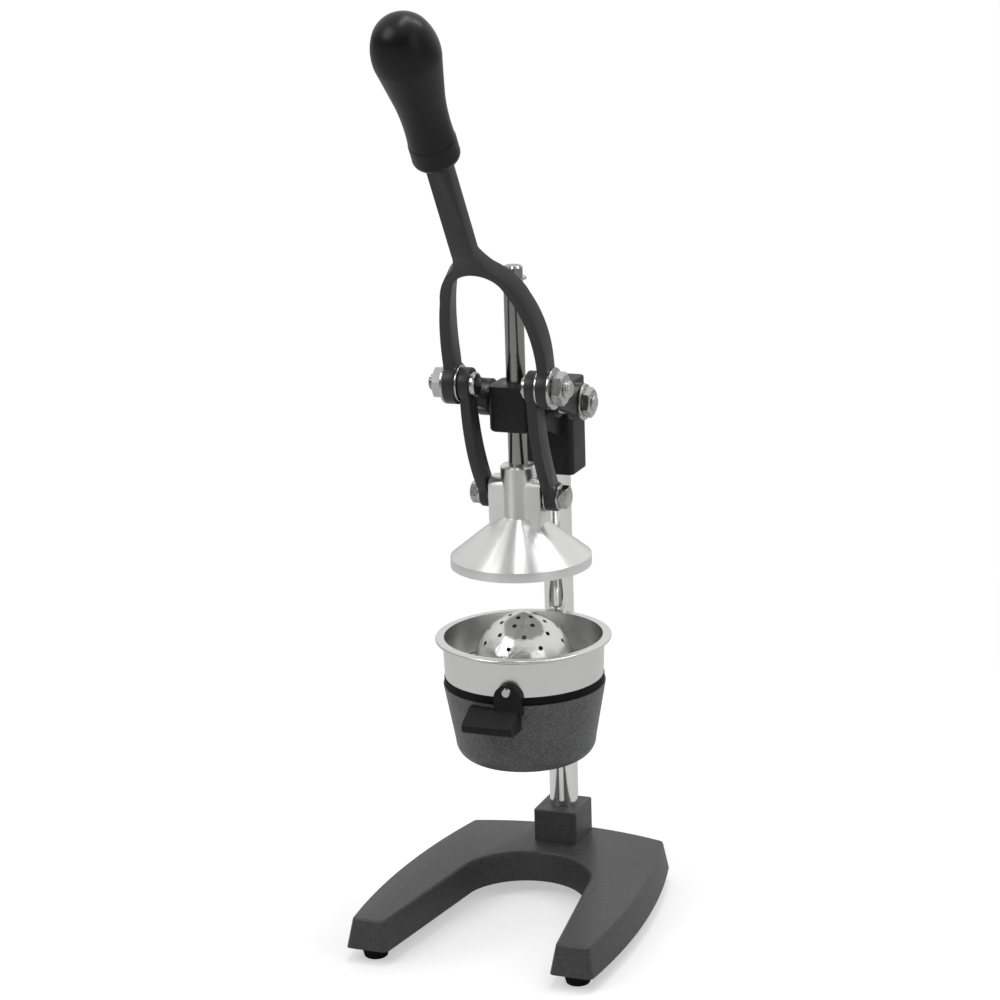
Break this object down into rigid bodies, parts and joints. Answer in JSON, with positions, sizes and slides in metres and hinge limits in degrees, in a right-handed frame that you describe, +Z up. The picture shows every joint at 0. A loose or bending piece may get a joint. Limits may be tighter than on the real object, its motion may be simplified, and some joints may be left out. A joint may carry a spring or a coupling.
{
  "type": "lever citrus juice press",
  "caption": "Free-standing hand press for citrus fruit: a forked lever and two links push a hollow cone on a guide rod down over a perforated dome in a steel cup, on a horseshoe base.",
  "frame": {"origin": "on the table, at the middle of the bounding box of the whole press with its lever up", "axes": "+Z up, -Y towards the user, where the lever leans and the base is open, +X to the user's right"},
  "size_m": [0.2236, 0.3414, 0.7795],
  "materials": {
    "casting_paint": "hammertone",
    "holder_paint": "hammertone",
    "lever_paint": "satin",
    "grip_plastic": "semi-gloss",
    "black_rubber": "matte",
    "chrome_bar": "polished",
    "polished_steel": "polished",
    "sheet_steel": "fine brushed",
    "zinc_steel": "zinc plated",
    "bush_iron": "oiled sintered iron"
  },
  "bodies": {
    "stand": {"base_casting": "casting_paint", "rubber_feet": "black_rubber", "foot_studs": "zinc_steel", "column": "chrome_bar", "column_bolt": "zinc_steel", "column_washer": "zinc_steel", "socket_set_screw": "zinc_steel", "head_casting": "casting_paint", "head_set_screws": "zinc_steel", "guide_bushes": "bush_iron", "pivot_axle": "zinc_steel", "pivot_spacers": "zinc_steel", "pivot_washers": "zinc_steel", "pivot_nuts": "zinc_steel", "cup_holder": "holder_paint", "seat_ring": "black_rubber", "holder_clamp_screw": "zinc_steel"},
    "cup": {"strainer_cup": "sheet_steel", "cup_handle": "grip_plastic", "handle_screw": "zinc_steel"},
    "reamer_body": {"reamer": "sheet_steel"},
    "press": {"press_cone": "polished_steel", "guide_rod": "polished_steel", "rod_grub_screw": "zinc_steel", "rod_stop_ring": "zinc_steel"},
    "lever": {"lever_yoke": "lever_paint", "lever_grip": "grip_plastic", "crank_bolts": "zinc_steel", "crank_washers": "zinc_steel", "crank_nuts": "zinc_steel", "fork_bushes": "bush_iron"},
    "left_link": {"link_left": "lever_paint", "link_left_bolt": "zinc_steel", "link_left_washers": "zinc_steel"},
    "right_link": {"link_right": "lever_paint", "link_right_bolt": "zinc_steel", "link_right_washers": "zinc_steel"}
  },
  "joints": [
    {"name": "lever_swing", "type": "hinge", "parent": "stand", "child": "lever", "pos_m": [0, 0.0939, 0.4385], "axis": [1, 0, 0], "range_deg": [0, 55]},
    {"name": "press_travel", "type": "slide", "parent": "stand", "child": "press", "axis": [0, 0, -1], "range_m": [0, 0.0715]},
    {"name": "left_link_swing", "type": "hinge", "parent": "lever", "child": "left_link", "pos_m": [-0.0287, 0.024, 0.4653], "axis": [1, 0, 0], "range_deg": [-60, 0]},
    {"name": "right_link_swing", "type": "hinge", "parent": "lever", "child": "right_link", "pos_m": [0.0287, 0.024, 0.4653], "axis": [1, 0, 0], "range_deg": [-60, 0]},
    {"name": "cup_lift", "type": "slide", "parent": "stand", "child": "cup", "axis": [0, 0, -1], "range_m": [-0.005, 0]},
    {"name": "reamer_lift", "type": "slide", "parent": "cup", "child": "reamer_body", "axis": [0, 0, -1], "range_m": [-0.004, 0]}
  ],
  "couplings": [
    {"joint": "press_travel", "follows": "lever_swing", "m_per_rad": 0.074358},
    {"joint": "left_link_swing", "follows": "lever_swing", "ratio": -1.0809},
    {"joint": "right_link_swing", "follows": "lever_swing", "ratio": -1.0809}
  ]
}
